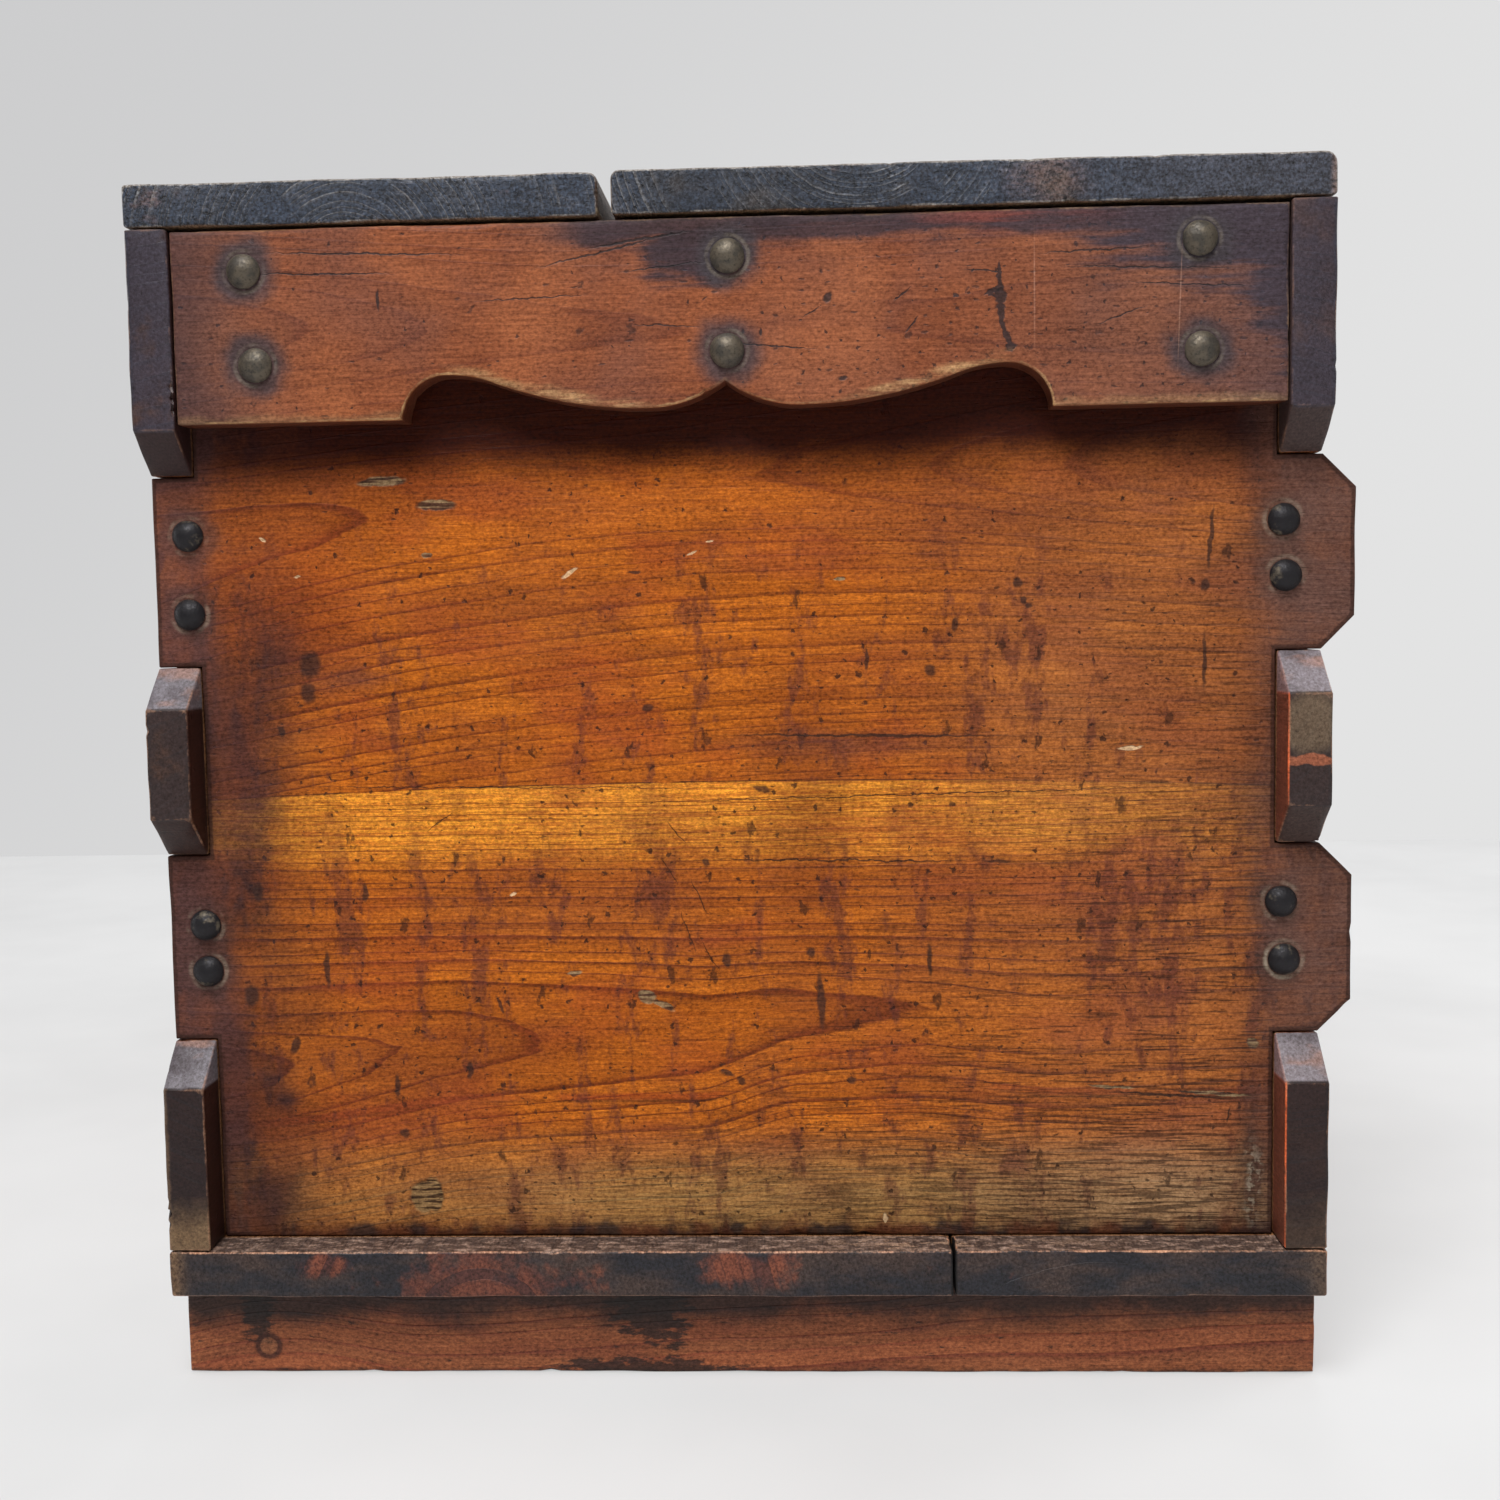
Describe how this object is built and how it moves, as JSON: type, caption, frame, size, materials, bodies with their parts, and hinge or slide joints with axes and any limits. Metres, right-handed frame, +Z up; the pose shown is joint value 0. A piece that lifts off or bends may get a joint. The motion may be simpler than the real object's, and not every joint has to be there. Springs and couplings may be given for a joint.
{
  "type": "comb-jointed storage chest",
  "caption": "Plank storage chest with chamfered comb joints, scalloped aprons, domed studs, a low plinth, a fixed back top board and a lift-off lid.",
  "frame": {"origin": "on the ground, at the centre of the whole chest's box", "axes": "+Z up; +X towards the front, where the end boards' fingers stand proud; +Y along the chest's length, away from the end that is pictured"},
  "size_m": [0.4934, 0.74, 0.4978],
  "materials": {
    "end_wood": "aged oiled cedar, flat-sawn, worn satin",
    "side_wood": "smoke-darkened cedar, worn satin",
    "top_wood": "smoke-darkened cedar, dry, worn",
    "floor_wood": "smoke-darkened cedar, rough-planed",
    "plinth_wood": "stained cedar, worn",
    "apron_wood": "aged oiled cedar, worn satin",
    "inner_wood": "bare aged cedar, matt",
    "forged_iron": "hand-forged, oxidised, waxed"
  },
  "bodies": {
    "chest": {"end_board_near": "end_wood", "end_board_far": "end_wood", "front_board": "side_wood", "back_board": "side_wood", "floor_board_wide": "floor_wood", "floor_board_narrow": "floor_wood", "plinth_rail_near": "plinth_wood", "plinth_rail_far": "plinth_wood", "plinth_rail_front": "plinth_wood", "plinth_rail_back": "plinth_wood", "apron_near": "apron_wood", "apron_far": "apron_wood", "top_board_fixed": "top_wood", "seam_rail": "inner_wood", "end_studs_near": "forged_iron", "end_studs_far": "forged_iron", "apron_studs_near": "forged_iron", "apron_studs_far": "forged_iron", "front_studs": "forged_iron", "back_nails": "forged_iron", "top_nails": "forged_iron", "floor_nails": "forged_iron", "plinth_nails": "forged_iron"},
    "lid": {"lid_board": "top_wood", "lid_batten_near": "inner_wood", "lid_batten_far": "inner_wood", "lid_nails": "forged_iron"}
  },
  "joints": [
    {"name": "lid_lift", "type": "slide", "parent": "chest", "child": "lid", "axis": [0, 0, 1], "range_m": [0, 0.25]}
  ]
}
